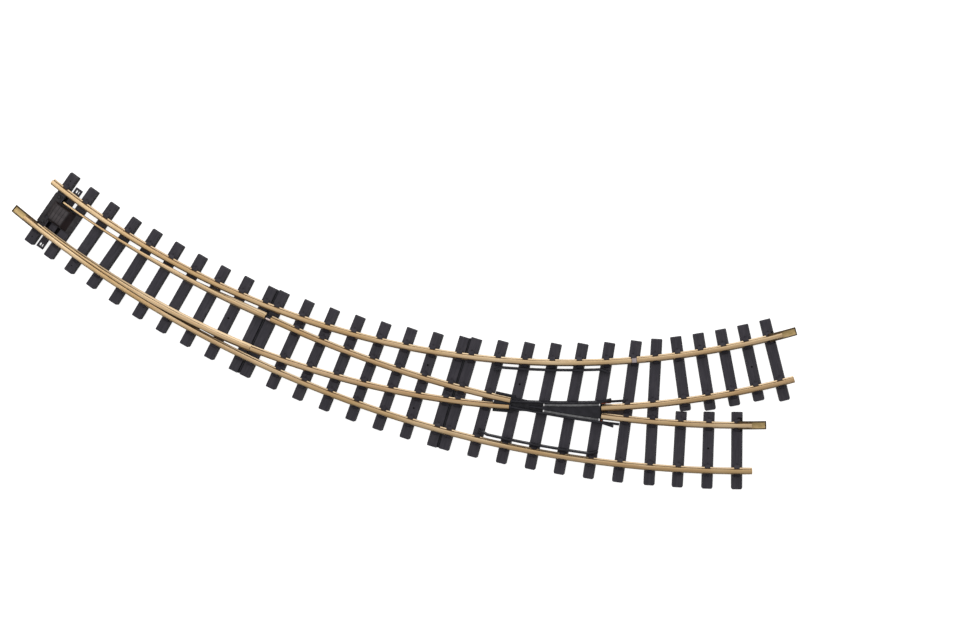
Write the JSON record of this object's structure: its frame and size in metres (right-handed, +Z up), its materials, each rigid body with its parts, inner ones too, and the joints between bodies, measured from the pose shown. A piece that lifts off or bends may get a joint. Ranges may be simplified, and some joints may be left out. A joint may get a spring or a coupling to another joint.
{
  "type": "model turnout switch",
  "caption": "Curved left-hand model railway turnout, 45 mm gauge: brass rails on plastic sleepers, swinging switch blades, sliding throw bar, frog and guard rails.",
  "frame": {"origin": "middle of the bounding box's underside, on the surface that the sleepers rest on", "axes": "+X along the track at the toe end, towards the frog; +Y to the inside of both curves; +Z up"},
  "size_m": [0.8088, 0.459, 0.0191],
  "materials": {
    "brass": "drawn brass rail, satin, with a brighter running surface",
    "sleeper_plastic": "charcoal moulded plastic with a fine wood grain",
    "black_plastic": "near-black moulded plastic, satin",
    "cover_plastic": "warm dark grey moulded plastic, satin",
    "insert_plastic": "mid grey moulded plastic",
    "dark_steel": "dark steel, satin",
    "bright_steel": "bright spring steel",
    "copper": "copper strip"
  },
  "bodies": {
    "track_bed": {"cover_screw_1": "dark_steel", "cover_screw_2": "dark_steel", "frog_casting": "black_plastic", "frog_left_running_strip": "dark_steel", "frog_right_running_strip": "dark_steel", "frog_sleeper_strip": "sleeper_plastic", "inner_exit_feed_strip": "copper", "inner_exit_rail": "brass", "inner_exit_rail_joiner": "brass", "inner_exit_sleeper_strip": "sleeper_plastic", "left_closure_rail": "brass", "left_guard_rail": "black_plastic", "left_heel_contact_clip": "bright_steel", "left_heel_pivot_pin": "bright_steel", "left_stock_rail_front": "brass", "left_stock_rail_rear": "brass", "mechanism_cover": "cover_plastic", "middle_sleeper_strip": "sleeper_plastic", "outer_exit_feed_strip": "copper", "outer_exit_rail": "brass", "outer_exit_rail_joiner": "brass", "outer_exit_sleeper_strip": "sleeper_plastic", "right_closure_rail": "brass", "right_guard_rail": "black_plastic", "right_heel_contact_clip": "bright_steel", "right_heel_pivot_pin": "bright_steel", "right_stock_rail": "brass", "spring_post": "bright_steel", "stock_rail_insulator": "insert_plastic", "toe_rail_joiner": "brass", "toe_sleeper_strip": "sleeper_plastic"},
    "throw_bar": {"snap_spring": "bright_steel", "throw_bar": "sleeper_plastic"},
    "left_blade": {"left_switch_blade": "brass", "left_blade_drive_pin": "bright_steel"},
    "right_blade": {"right_switch_blade": "brass", "right_blade_drive_pin": "bright_steel"}
  },
  "joints": [
    {"name": "throw_bar_slide", "type": "slide", "parent": "track_bed", "child": "throw_bar", "axis": [-0.0663, 0.9978, 0], "range_m": [0, 0.0063]},
    {"name": "left_blade_swing", "type": "hinge", "parent": "track_bed", "child": "left_blade", "pos_m": [-0.11949, -0.12694, 0.0108], "axis": [0, 0, 1], "range_deg": [-1.5, 0]},
    {"name": "right_blade_swing", "type": "hinge", "parent": "track_bed", "child": "right_blade", "pos_m": [-0.1107, -0.16484, 0.0108], "axis": [0, 0, 1], "range_deg": [-1.45, 0]}
  ],
  "couplings": [
    {"joint": "left_blade_swing", "follows": "throw_bar_slide", "rad_per_m": -4.1536},
    {"joint": "right_blade_swing", "follows": "throw_bar_slide", "rad_per_m": -4.0304}
  ]
}
